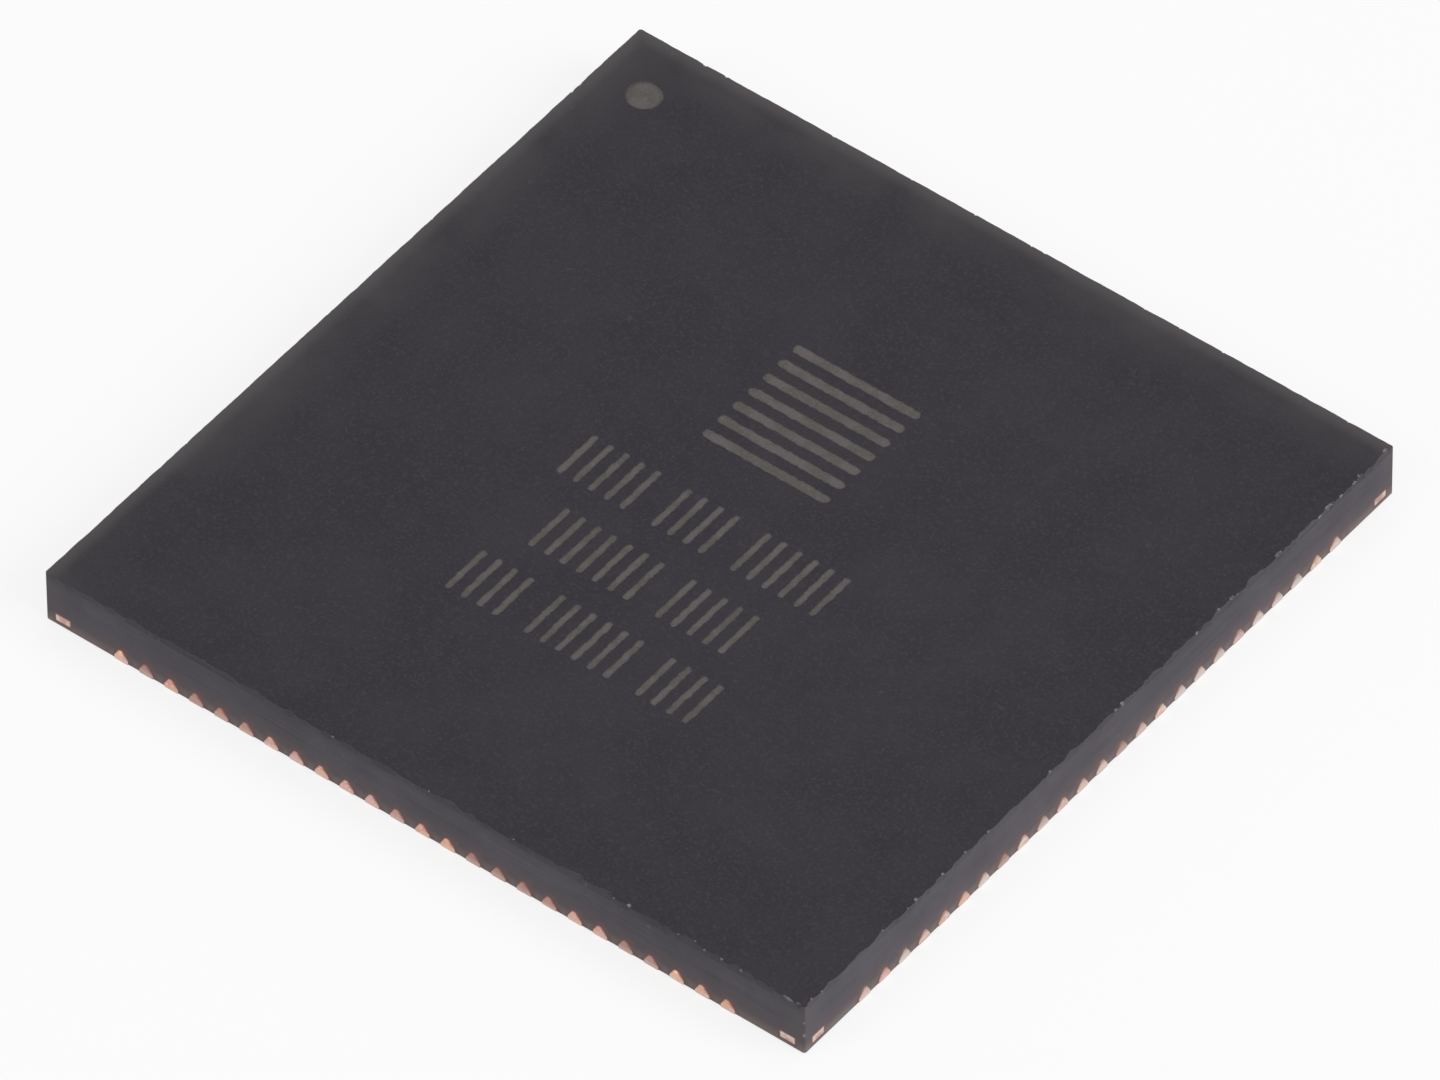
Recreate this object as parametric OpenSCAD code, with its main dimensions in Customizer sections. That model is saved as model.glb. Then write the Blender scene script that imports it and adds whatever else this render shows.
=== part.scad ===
// Flat no-lead chip package, sawn from a moulded sheet. A copper lead frame, a silicon die and
// its bond wires lie in a block of moulding compound, with the terminals bare underneath.
// Millimetres. The origin is the middle of the seating plane, +Z is up, and the index mark
// lies in the -X +Y corner of the top.

/* [Package] */
// Length of each side of the square body
body_w = 12; // [11:0.1:16]
// Height of the top above the seating plane
body_h = 0.85; // [0.75:0.01:1.2]
// Height of the moulded underside above the seating plane
standoff = 0.02; // [0.01:0.005:0.05]

/* [Index mark] */
// Diameter of the round mark in the top
mark_d = 0.5; // [0.3:0.02:0.9]
// Depth of the mark
mark_depth = 0.025; // [0.01:0.005:0.05]
// Distance from the left side to the middle of the mark
mark_from_left = 0.78; // [0.6:0.02:1.6]
// Distance from the back side to the middle of the mark
mark_from_back = 0.9; // [0.6:0.02:1.6]

/* [Lead frame] */
// Thickness of the copper sheet
frame_t = 0.2; // [0.15:0.01:0.25]
// Thickness left where the sheet is etched away from below
etched_t = 0.12; // [0.08:0.01:0.13]

/* [Terminals] */
// Distance between the middles of neighbouring terminals
pitch = 0.4; // [0.4:0.01:0.65]
// Width of a terminal underneath
land_w = 0.22; // [0.15:0.01:0.26]
// Length of the bare land underneath
land_len = 0.6; // [0.4:0.01:0.8]
// Height of a terminal's upright edge
land_edge = 0.06; // [0.03:0.01:0.1]
// Diameter of a terminal's round crest
crest_d = 0.11; // [0.08:0.01:0.14]
// Width of the thin finger that reaches in from a terminal
finger_w = 0.18; // [0.12:0.01:0.24]
// Gap between the longest fingers and the rim of the die pad
finger_gap = 0.3; // [0.2:0.01:0.6]
// Distance that the corners of a rounded end lie behind its tip
nose_drop = 0.06; // [0.03:0.005:0.07]

/* [Die pad] */
// Length of each side of the bare pad underneath
pad_w = 8; // [6.5:0.1:8.4]
// Length cut from each edge at the pad's index corner
pad_corner = 0.4; // [0.2:0.05:1]
// Width of the thin rim round the pad
rim_w = 0.2; // [0.1:0.01:0.3]
// Width of the bars that tie the pad to the corners
tie_w = 0.25; // [0.15:0.01:0.35]
// Width of a tie bar's cut end in the side of the body
tie_end_w = 0.24; // [0.15:0.01:0.28]
// Radius of the edges that the etch leaves on a cut end
tie_end_round = 0.03; // [0.01:0.005:0.035]
// Distance from a corner of the body to the middle of a cut end
tie_end_inset = 0.27; // [0.24:0.01:0.4]
// Gap between a tie bar and the terminals beside it
tie_gap = 0.1; // [0.08:0.01:0.14]

/* [Die] */
// Length of each side of the silicon die
die_w = 5; // [4:0.1:6]
// Thickness of the die
die_t = 0.25; // [0.15:0.01:0.28]
// Thickness of the adhesive under the die
attach_t = 0.025; // [0.015:0.005:0.05]
// Distance that the adhesive spreads past the die
attach_margin = 0.1; // [0.05:0.01:0.2]

/* [Bond wires] */
// Diameter of the wire
wire_d = 0.025; // [0.018:0.001:0.03]
// Diameter of the squashed ball that bonds a wire to the die
ball_d = 0.066; // [0.056:0.002:0.08]
// Diameter of the ball's foot on the die
ball_foot_d = 0.052; // [0.044:0.002:0.054]
// Height of the ball
ball_h = 0.02; // [0.012:0.001:0.03]
// Height of the loop above the die
loop_h = 0.12; // [0.08:0.01:0.15]
// Length of the slope from a loop's knee down to its lead, seen from above
knee_len = 1; // [0.7:0.05:1.2]
// Distance from the edge of the die to its row of bonds
bond_inset = 0.08; // [0.06:0.01:0.2]
// Distance from a corner of the die to the first bond beside it
bond_corner = 0.35; // [0.25:0.05:0.6]
// Distance from the tip of a finger back to its bond
stitch_inset = 0.12; // [0.1:0.01:0.16]

/* [Hidden] */
$fn = 40;

compound_grey = [0.235, 0.224, 0.243];
bare_copper = [0.81, 0.67, 0.62];
matt_tin = [0.74, 0.73, 0.71];
adhesive_grey = [0.62, 0.62, 0.6];
silicon_grey = [0.33, 0.35, 0.41];
wire_gold = [0.88, 0.72, 0.36];

// The four sides, as the directions that they face.
FRONT = [0, -1];
RIGHT = [1, 0];
BACK = [0, 1];
LEFT = [-1, 0];
SIDES = [FRONT, RIGHT, BACK, LEFT];

body_half = body_w / 2;
etched_z = frame_t - etched_t;
rim_half = pad_w / 2 + rim_w;
die_z = frame_t + attach_t;
die_top = die_z + die_t;

// A tie bar takes this much of a terminal's line, measured along the side of the body.
tie_reach = (tie_w / 2 + tie_gap) * sqrt(2) + max(land_w, finger_w) / 2;
count_slack = 1e-6;
lead_count = floor((body_w - 2 * (land_len + tie_reach)) / pitch + count_slack) + 1;
finger_len = body_half - rim_half - finger_gap;
finger_start = land_len / 2;
bond_pitch = (die_w - 2 * bond_corner) / (lead_count - 1);

// A wire is drawn with this many sides. It rises from its ball, runs level and slopes to its lead.
wire_sides = 6;
loop_z = die_top + loop_h;
wire_slope = atan2(loop_z - frame_t, knee_len);

// Turn about Z that takes a row from the front to another side.
function turn_to(side) = atan2(side.x, -side.y);

// Place of lead i along its side, from the middle.
function lead_u(i) = (i - (lead_count - 1) / 2) * pitch;

// Length of lead i from the side of the body, short of the tie bar beside it.
function lead_len(i) = min(finger_len, body_half - abs(lead_u(i)) - tie_reach);

// Radius of an arc across a width whose corners lie a drop behind its tip.
function arc_radius(width, drop) = (width * width / 4 + drop * drop) / (2 * drop);

// Bond of wire i on the die and its seat on lead i, seen from above with the front side at -Y.
function bond_at(i) = [(i - (lead_count - 1) / 2) * bond_pitch, bond_inset - die_w / 2];
function seat_at(i) = [lead_u(i), lead_len(i) - stitch_inset - body_half];

// Centred square plate standing on height z.
module plate(width, z, thickness) {
    translate([-width / 2, -width / 2, z])
        cube([width, width, thickness]);
}

// Plan of a strip that runs along +Y from the origin and has a rounded end.
module nosed_strip(length, width) {
    radius = arc_radius(width, nose_drop);
    intersection() {
        translate([-width / 2, 0])
            square([width, length]);
        union() {
            translate([0, length - radius])
                circle(radius);
            translate([-width, -width])
                square([2 * width, length - radius + width]);
        }
    }
}

// Cross-section of a terminal as the saw leaves it: upright edges, and sides that the etch draws in
// until they run into a round crest.
module land_section() {
    crest_z = frame_t - crest_d / 2;
    edge = [land_w / 2, land_edge - crest_z];
    lean = atan2(edge.y, edge.x) + acos(crest_d / 2 / norm(edge));
    touch = [cos(lean), sin(lean)] * crest_d / 2;
    translate([0, crest_z]) {
        circle(d = crest_d);
        polygon([
            [-edge.x, -crest_z], [edge.x, -crest_z], edge, touch, [-touch.x, touch.y], [-edge.x, edge.y]
        ]);
    }
}

// One lead, running along +Y from the side of the body: a full-height land and a thin finger.
module lead(length) {
    intersection() {
        rotate([90, 0, 0])
            translate([0, 0, -land_len])
                linear_extrude(land_len)
                    land_section();
        linear_extrude(frame_t)
            nosed_strip(land_len, land_w);
    }
    translate([0, finger_start, etched_z])
        linear_extrude(etched_t)
            nosed_strip(length - finger_start, finger_w);
}

// The row of leads along one side.
module lead_row(side) {
    rotate([0, 0, turn_to(side)])
        for (i = [0 : lead_count - 1])
            translate([lead_u(i), -body_half, 0])
                lead(lead_len(i));
}

// Cross-section of a tie bar's cut end, with rounded edges, standing on the X axis.
module tie_end_section() {
    flat_w = tie_end_w - 2 * tie_end_round;
    flat_h = etched_t - 2 * tie_end_round;
    translate([-flat_w / 2, 0])
        square([flat_w, etched_t]);
    translate([-tie_end_w / 2, tie_end_round])
        square([tie_end_w, flat_h]);
    for (x = [-flat_w / 2, flat_w / 2], y = [tie_end_round, tie_end_round + flat_h])
        translate([x, y])
            circle(tie_end_round);
}

// The tie bar in the +X +Y corner: a diagonal bar that forks to a cut end in each side.
module tie_bar() {
    fork = body_half - tie_end_inset;
    rotate([0, 0, 45])
        translate([0, -tie_w / 2, 0])
            cube([fork * sqrt(2), tie_w, etched_t]);
    for (flip = [0, 1])
        mirror([flip, -flip, 0])
            translate([fork, body_half, 0])
                rotate([90, 0, 0])
                    linear_extrude(tie_end_inset + tie_end_w / 2)
                        tie_end_section();
}

// One wire in the plane of its run: each station is its [run, height], its radius, the slope that
// its ring faces along, and how far the ring is drawn out there.
function wire_stations(run) = [
    [[0, die_top], ball_foot_d / 2, 90, 1],
    [[0, die_top + ball_h / 2], ball_d / 2, 90, 1],
    [[0, die_top + ball_h], wire_d / 2, 90, 1],
    [[0, loop_z], wire_d / 2, 45, 1 / cos(45)],
    [[run - knee_len, loop_z], wire_d / 2, -wire_slope / 2, 1 / cos(wire_slope / 2)],
    [[run, frame_t], wire_d / 2, -90, 1 / sin(wire_slope)]
];

// Points of the ring at a station, with the run starting at +X of the origin.
function wire_ring(at, radius, facing, stretch) = [
    for (k = [0 : wire_sides - 1])
        let (turn = 360 / wire_sides * k, rise = radius * stretch * sin(turn))
            [at.x - rise * sin(facing), radius * cos(turn), at.y + rise * cos(facing)]
];

// Wire i, for the front side, with its ball on the die and its far end cut to lie on its lead.
module wire(i) {
    span = seat_at(i) - bond_at(i);
    stations = wire_stations(norm(span));
    last = wire_sides * (len(stations) - 1);
    translate(bond_at(i))
        rotate([0, 0, atan2(span.y, span.x)])
            polyhedron(
                points = [for (s = stations) each wire_ring(s[0], s[1], s[2], s[3])],
                faces = [
                    [for (k = [0 : wire_sides - 1]) k],
                    for (from = [0 : wire_sides : last - 1], k = [0 : wire_sides - 1])
                        let (next = (k + 1) % wire_sides)
                            [from + k, from + wire_sides + k, from + wire_sides + next, from + next],
                    [for (k = [wire_sides - 1 : -1 : 0]) last + k]
                ]
            );
}

// The row of wires along one side.
module wire_row(side) {
    rotate([0, 0, turn_to(side)])
        for (i = [0 : lead_count - 1])
            wire(i);
}

module mould_body() {
    color(compound_grey)
        difference() {
            plate(body_w, standoff, body_h - standoff);
            translate([mark_from_left - body_half, body_half - mark_from_back, body_h - mark_depth])
                cylinder(h = 2 * mark_depth, d = mark_d);
            die_pad();
            die_attach();
            die();
            for (side = SIDES) {
                lead_row(side);
                wire_row(side);
            }
        }
}

module die_pad() {
    color(matt_tin) {
        linear_extrude(frame_t)
            difference() {
                square(pad_w, center = true);
                translate([-pad_w / 2, pad_w / 2])
                    rotate([0, 0, 45])
                        square(pad_corner * sqrt(2), center = true);
            }
        plate(2 * rim_half, etched_z, etched_t);
        for (side = SIDES)
            rotate([0, 0, turn_to(side)])
                translate([0, 0, etched_z])
                    tie_bar();
    }
}

module die_attach() {
    color(adhesive_grey)
        plate(die_w + 2 * attach_margin, frame_t, attach_t);
}

module die() {
    color(silicon_grey)
        plate(die_w, die_z, die_t);
}

module leads_front() {
    color(bare_copper)
        lead_row(FRONT);
}

module leads_right() {
    color(bare_copper)
        lead_row(RIGHT);
}

module leads_back() {
    color(bare_copper)
        lead_row(BACK);
}

module leads_left() {
    color(bare_copper)
        lead_row(LEFT);
}

module wires_front() {
    color(wire_gold)
        wire_row(FRONT);
}

module wires_right() {
    color(wire_gold)
        wire_row(RIGHT);
}

module wires_back() {
    color(wire_gold)
        wire_row(BACK);
}

module wires_left() {
    color(wire_gold)
        wire_row(LEFT);
}

mould_body();
die_pad();
die_attach();
die();
leads_front();
leads_right();
leads_back();
leads_left();
wires_front();
wires_right();
wires_back();
wires_left();
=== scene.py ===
# %% [markdown]
# # A flat no-lead chip, sawn from a moulded sheet
# The real part is a thin block of black moulding compound round a copper lead frame, a silicon die and
# its bond wires. A diamond saw cuts it out of a large sheet, so its sides show saw marks and the bare
# ends of the leads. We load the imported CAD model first. It could be rebuilt here by eye, but the frame
# already holds every size, so each piece that we make only has to lie where the frame says.

# %% Load the frame
import math
import random

import bmesh
import bpy
from mathutils import Euler, Matrix, Vector, noise


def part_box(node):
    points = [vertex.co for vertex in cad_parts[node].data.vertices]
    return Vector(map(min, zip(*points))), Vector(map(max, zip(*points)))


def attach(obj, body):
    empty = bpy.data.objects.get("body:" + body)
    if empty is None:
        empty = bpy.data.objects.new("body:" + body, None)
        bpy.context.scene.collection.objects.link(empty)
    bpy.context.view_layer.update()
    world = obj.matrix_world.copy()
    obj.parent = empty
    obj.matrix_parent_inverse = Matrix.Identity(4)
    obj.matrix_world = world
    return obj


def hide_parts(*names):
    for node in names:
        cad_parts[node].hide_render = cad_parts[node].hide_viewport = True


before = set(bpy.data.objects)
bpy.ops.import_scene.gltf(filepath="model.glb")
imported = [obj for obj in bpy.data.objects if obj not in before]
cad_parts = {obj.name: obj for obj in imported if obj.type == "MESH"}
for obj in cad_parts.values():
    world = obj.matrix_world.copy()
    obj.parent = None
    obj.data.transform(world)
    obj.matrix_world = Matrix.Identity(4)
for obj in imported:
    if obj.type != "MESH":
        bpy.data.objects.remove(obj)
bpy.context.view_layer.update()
print("frame loaded with", len(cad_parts), "nodes")

# %% [markdown]
# ## Measure before making
# The whole chip is 12 mm wide, and its finest edges are a few thousandths of a millimetre. Blender's
# mesh operators have small built-in limits that suit larger numbers, so we work on a bench that counts
# in millimetres and shrink each finished mesh to metres once. The main sizes come from the frame's boxes.

# %% Sizes from the frame, in millimetres
MM = 0.001
LEADS_PER_SIDE = 25
LAND_W = 0.22
LAND_EDGE = 0.06
CREST_D = 0.11

body_low, body_high = (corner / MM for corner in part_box("mould_body"))
row_low, row_high = (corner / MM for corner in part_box("leads_front"))
HALF = body_high.x
TOP = body_high.z
FOOT = body_low.z
FRAME_T = row_high.z
PITCH = (row_high.x - row_low.x - LAND_W) / (LEADS_PER_SIDE - 1)
print(f"body {2 * HALF:.2f} mm square, {TOP:.2f} mm high, leads {PITCH:.3f} mm apart")

# %% [markdown]
# ## The camera
# The picture was taken from far away with a long lens, so the chip's parallel edges stay nearly parallel.
# A camera can be placed by eye, but here its angles, distance and lens were worked out from where the
# seven visible corners of the block lie in the picture. The lens is stated for a sensor 36 mm wide.

# %% Place the camera
# Lengths in millimetres, apart from the clipping distances, which are in metres.
AZIMUTH = math.radians(38.471)
ELEVATION = math.radians(46.690)
ROLL = math.radians(-0.564)
DISTANCE = 306.37
AIM_RIGHT = -0.0139
AIM_UP = 0.1969
SENSOR_W = 36
LENS = 612.18
CLIP = (0.01, 10)

back = Vector((math.sin(AZIMUTH) * math.cos(ELEVATION),
               -math.cos(AZIMUTH) * math.cos(ELEVATION),
               math.sin(ELEVATION)))
right = Vector((math.cos(AZIMUTH), math.sin(AZIMUTH), 0))
up = back.cross(right)
turn = Matrix((right, up, back)).transposed() @ Matrix.Rotation(ROLL, 3, "Z")
stand = (back * DISTANCE + right * AIM_RIGHT + up * AIM_UP) * MM

camera_data = bpy.data.cameras.new("camera")
camera_data.sensor_width = SENSOR_W
camera_data.lens = LENS
camera_data.clip_start, camera_data.clip_end = CLIP
camera = bpy.data.objects.new("camera", camera_data)
camera.matrix_world = Matrix.Translation(stand) @ turn.to_4x4()
scene = bpy.context.scene
scene.collection.objects.link(camera)
scene.camera = camera
scene.view_settings.view_transform = "Standard"
print("camera", [round(value, 4) for value in camera.location], "lens", LENS)

# %% [markdown]
# ## A way to wire nodes
# Every finish below is a small network of nodes. Linking them line by line is long to read, so this
# helper adds a node and fills its inputs in one call: a socket is linked, and anything else is set.
# Positions reach the patterns in millimetres, because Object coordinates come in metres. A noise pattern
# seldom leaves the middle of its range, so one method spreads that middle between two chosen values.

# %% Node helper
NOISE_LOW = 0.3
NOISE_HIGH = 0.7


class Wiring:
    """Adds nodes to one node tree."""

    def __init__(self, tree):
        self.tree = tree

    def put(self, socket, value):
        """Links a socket, or sets anything else as the socket's value."""
        if isinstance(value, bpy.types.NodeSocket):
            self.tree.links.new(value, socket)
        else:
            socket.default_value = value

    def node(self, kind, inputs=None, **settings):
        """A new node with its settings and its inputs."""
        made = self.tree.nodes.new(kind)
        for name, value in settings.items():
            setattr(made, name, value)
        for name, value in (inputs or {}).items():
            self.put(made.inputs[name], value)
        return made

    def math(self, operation, first, second=0.0, third=0.0):
        inputs = {0: first, 1: second, 2: third}
        return self.node("ShaderNodeMath", inputs, operation=operation).outputs[0]

    def scale(self, vector, factor):
        made = self.node("ShaderNodeVectorMath", {0: vector, "Scale": factor}, operation="SCALE")
        return made.outputs["Vector"]

    def stretch(self, vector, factors):
        made = self.node("ShaderNodeVectorMath", {0: vector, 1: factors}, operation="MULTIPLY")
        return made.outputs["Vector"]

    def split(self, vector):
        return self.node("ShaderNodeSeparateXYZ", {0: vector}).outputs

    def join(self, x, y, z):
        return self.node("ShaderNodeCombineXYZ", {0: x, 1: y, 2: z}).outputs[0]

    def ease(self, value, low, high, to_low=0.0, to_high=1.0):
        """A smooth step from one pair of values to another."""
        inputs = {"Value": value, "From Min": low, "From Max": high, "To Min": to_low, "To Max": to_high}
        return self.node("ShaderNodeMapRange", inputs, interpolation_type="SMOOTHSTEP").outputs[0]

    def spread(self, pattern, to_low, to_high):
        """A noise pattern, spread between two values."""
        return self.ease(pattern, NOISE_LOW, NOISE_HIGH, to_low, to_high)

    def mix(self, factor, first, second):
        """A colour between two, by a factor from 0 to 1."""
        made = self.node("ShaderNodeMix", data_type="RGBA")
        self.put(made.inputs[0], factor)
        self.put(made.inputs[6], first)
        self.put(made.inputs[7], second)
        return made.outputs[2]

    def cover(self, base, colour, mask, share):
        """A colour laid over a base where a mask says, at a share of its strength."""
        return self.mix(self.math("MULTIPLY", mask, share), base, colour)

    def noise(self, vector, scale, detail=3.0, roughness=0.55):
        inputs = {"Vector": vector, "Scale": scale, "Detail": detail, "Roughness": roughness}
        return self.node("ShaderNodeTexNoise", inputs).outputs[0]

    def place(self):
        """Object coordinates in millimetres."""
        found = self.node("ShaderNodeTexCoord").outputs["Object"]
        return self.scale(found, 1 / MM)

    def effect(self, tree, **inputs):
        """The outputs of a node group, placed with its own values."""
        made = self.node("ShaderNodeGroup", node_tree=tree)
        for name, value in inputs.items():
            self.put(made.inputs[name.replace("_", " ")], value)
        return made.outputs

    def bump(self, height, microns):
        """The normal of a surface whose height varies by so many thousandths of a millimetre."""
        inputs = {"Height": height, "Distance": microns * MM * MM, "Strength": 1.0}
        return self.node("ShaderNodeBump", inputs).outputs[0]


def tone(red, green, blue):
    """A colour as the eye reads it, from 0 to 255, as linear light."""
    shares = [value / 255 for value in (red, green, blue)]
    return (*[((s + 0.055) / 1.055) ** 2.4 if s > 0.04045 else s / 12.92 for s in shares], 1.0)


def finish(name, **constants):
    """A material with one Principled shader, its wiring and its shader's inputs."""
    material = bpy.data.materials.new(name)
    material.use_nodes = True
    tree = material.node_tree
    shader = tree.nodes["Principled BSDF"]
    for label, value in constants.items():
        shader.inputs[label.replace("_", " ")].default_value = value
    return material, Wiring(tree), shader.inputs


def effect_group(name, inputs, outputs):
    """A node group with named sockets, its wiring, and what comes in and goes out."""
    tree = bpy.data.node_groups.new(name, "ShaderNodeTree")
    for label, kind in inputs.items():
        tree.interface.new_socket(label, in_out="INPUT", socket_type=kind)
    for label, kind in outputs.items():
        tree.interface.new_socket(label, in_out="OUTPUT", socket_type=kind)
    wiring = Wiring(tree)
    return tree, wiring, wiring.node("NodeGroupInput").outputs, wiring.node("NodeGroupOutput").inputs


VALUE = "NodeSocketFloat"
VECTOR = "NodeSocketVector"
print("wiring ready")

# %% [markdown]
# ## Floor and light
# A chip like this is shot on white paper in soft light. The floor is a plain sheet that reads as white to
# the viewer and still takes the soft shadow. A hole in it, hidden under the chip, lets light reach the
# terminals, and the sheet is clear from below, so the underside can be looked at too. A bright world
# alone would flatten the block, so a large soft lamp on the right lifts that side, and a weaker one
# at the front keeps the left side readable.

# %% White floor
FLOOR_W = 1000
FLOOR_DROP = 0.004
FLOOR_LIP = 0.05
FLOOR_HOLE_W = 2 * (HALF - FLOOR_LIP)
PAPER = (0.96, 0.96, 0.96, 1)
PAPER_GLOW = 0.8


def seen_rays(wiring):
    """Mask of the rays that the viewer, a mirror or glass sends out."""
    path = wiring.node("ShaderNodeLightPath").outputs
    mirrored = wiring.math("MAXIMUM", path["Is Camera Ray"], path["Is Glossy Ray"])
    return wiring.math("MAXIMUM", mirrored, path["Is Transmission Ray"])


def paper_white():
    """Paper that looks white, takes a shadow and is clear from below."""
    material = bpy.data.materials.new("paper_white")
    material.use_nodes = True
    wiring = Wiring(material.node_tree)
    wiring.tree.nodes.clear()
    paper = wiring.node("ShaderNodeBsdfDiffuse", {"Color": PAPER})
    glow = wiring.node("ShaderNodeEmission", {"Strength": 1.0})
    share = wiring.math("MULTIPLY", seen_rays(wiring), PAPER_GLOW)
    lit = wiring.node("ShaderNodeMixShader", {0: share, 1: paper.outputs[0], 2: glow.outputs[0]})
    below = wiring.node("ShaderNodeNewGeometry").outputs["Backfacing"]
    clear = wiring.node("ShaderNodeBsdfTransparent")
    sheet = wiring.node("ShaderNodeMixShader", {0: below, 1: lit.outputs[0], 2: clear.outputs[0]})
    wiring.node("ShaderNodeOutputMaterial", {"Surface": sheet.outputs[0]})
    return material


def bench_object(bm, name, materials):
    """Puts a bench mesh in the scene as it is, in millimetres."""
    mesh = bpy.data.meshes.new(name)
    bm.to_mesh(mesh)
    bm.free()
    for material in materials:
        mesh.materials.append(material)
    made = bpy.data.objects.new(name, mesh)
    scene.collection.objects.link(made)
    return made


def mesh_object(bm, name, materials):
    """Shrinks a bench mesh to metres and puts it in the scene."""
    bmesh.ops.scale(bm, vec=(MM, MM, MM), verts=bm.verts)
    return bench_object(bm, name, materials)


bench = bmesh.new()
bmesh.ops.create_grid(bench, x_segments=1, y_segments=1, size=FLOOR_W / 2)
bmesh.ops.translate(bench, vec=(0, 0, -FLOOR_DROP), verts=bench.verts)
hole = bench.faces[:]
bmesh.ops.inset_region(bench, faces=hole, thickness=(FLOOR_W - FLOOR_HOLE_W) / 2, use_boundary=True,
                       use_even_offset=True)
bmesh.ops.delete(bench, geom=hole, context="FACES_ONLY")
floor = mesh_object(bench, "floor", [paper_white()])
print("floor of", len(floor.data.polygons), "faces round a hole", round(FLOOR_HOLE_W, 3), "mm wide")

# %% World and lamps
SKY = 0.45
WHITE = (1, 1, 1, 1)
# Each lamp: name, direction from the chip, distance and width in millimetres, and the share of full
# light that it gives a surface facing it.
LAMPS = [
    ("right_lamp", (0.86, 0.12, 0.50), 320, 260, 0.62),
    ("front_lamp", (-0.25, -0.80, 0.55), 340, 240, 0.20),
    ("top_lamp", (-0.10, 0.35, 0.93), 360, 260, 0.12),
]

world = bpy.data.worlds.new("studio")
world.use_nodes = True
scene.world = world
sky = Wiring(world.node_tree)
sky.tree.nodes.clear()
dim = sky.node("ShaderNodeBackground", {"Color": WHITE, "Strength": SKY})
full = sky.node("ShaderNodeBackground", {"Color": WHITE, "Strength": 1.0})
mixed = sky.node("ShaderNodeMixShader", {0: seen_rays(sky), 1: dim.outputs[0], 2: full.outputs[0]})
sky.node("ShaderNodeOutputWorld", {"Surface": mixed.outputs[0]})

for name, direction, distance, width, share in LAMPS:
    lamp_data = bpy.data.lights.new(name, "AREA")
    lamp_data.shape = "SQUARE"
    lamp_data.size = width * MM
    lamp_data.energy = share * (math.pi * distance * MM) ** 2
    lamp = bpy.data.objects.new(name, lamp_data)
    towards = Vector(direction).normalized()
    lamp.matrix_world = (Matrix.Translation(towards * distance * MM)
                         @ towards.to_track_quat("Z", "Y").to_matrix().to_4x4())
    lamp.visible_camera = False
    scene.collection.objects.link(lamp)
    print(name, f"{lamp_data.energy:.3f} W")

# %% [markdown]
# ## What the compound is made of
# Moulding compound is epoxy packed with ground silica and a little carbon black. Its tone drifts slowly,
# its skin has a fine grain from the mould, and a few pale silica grains lie at the surface. All five
# finishes of the block show these, so they are one node group. A picture of the surface would do for one
# view, but a pattern in space fits every face.

# %% Compound effect
DRIFT_SCALE = 0.8
WARP_SCALE = 14.0
SPECK_WARP = (0.14, 0.14, 0.14)
# The reach of a speck, as a share of its cell, and its strength: the least, and what chance adds.
SPECK_REACH, SPECK_REACH_MORE = 0.06, 0.2
SPECK_STRENGTH, SPECK_STRENGTH_MORE = 0.3, 0.7
SPECK_CORE = 0.3

compound, wire, given, out = effect_group(
    "compound_grain",
    {"Position": VECTOR, "Grain Scale": VALUE, "Speck Cells": VALUE, "Speck Share": VALUE},
    {"Mottle": VALUE, "Grain": VALUE, "Specks": VALUE})
drift = wire.noise(given["Position"], DRIFT_SCALE, detail=6, roughness=0.65)
wire.put(out["Mottle"], wire.ease(drift, 0.35, 0.65))
wire.put(out["Grain"], wire.noise(given["Position"], given["Grain Scale"], detail=4, roughness=0.65))
warp = wire.node("ShaderNodeTexNoise", {"Vector": given["Position"], "Scale": WARP_SCALE, "Detail": 2.0})
bend = {0: warp.outputs["Color"], 1: SPECK_WARP, 2: given["Position"]}
bent = wire.node("ShaderNodeVectorMath", bend, operation="MULTIPLY_ADD")
spread = {"Vector": bent.outputs[0], "Scale": given["Speck Cells"]}
cells = wire.node("ShaderNodeTexVoronoi", spread).outputs
lots = wire.split(cells["Color"])
reach = wire.math("MULTIPLY_ADD", lots[1], SPECK_REACH_MORE, SPECK_REACH)
inside = wire.ease(cells["Distance"], reach, wire.math("MULTIPLY", reach, SPECK_CORE))
chosen = wire.math("LESS_THAN", lots[0], given["Speck Share"])
strength = wire.math("MULTIPLY_ADD", lots[2], SPECK_STRENGTH_MORE, SPECK_STRENGTH)
wire.put(out["Specks"], wire.math("MULTIPLY", wire.math("MULTIPLY", inside, chosen), strength))
print("effect", compound.name)

# %% [markdown]
# ## What the saw leaves
# The blade runs along each side, so its scores lie level and are much longer than they are high. The same
# scores cross the compound and the copper, so this is a group as well. On every side of the block, x + y
# runs along the side, which saves a separate pattern for each side.

# %% Saw effect
SCORE_LENGTH = 1.8
SCORE_HEIGHT = 0.018
SCORE_SLOPE = 0.012

saw, wire, given, out = effect_group("saw_scores", {"Position": VECTOR}, {"Scores": VALUE})
x, y, z = wire.split(given["Position"])
along = wire.math("ADD", x, y)
level = wire.math("MULTIPLY_ADD", along, SCORE_SLOPE, z)
flow = wire.join(wire.math("DIVIDE", along, SCORE_LENGTH), wire.math("DIVIDE", level, SCORE_HEIGHT), 0.0)
wire.put(out["Scores"], wire.noise(flow, 1.0, detail=4, roughness=0.6))
print("effect", saw.name)
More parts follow.
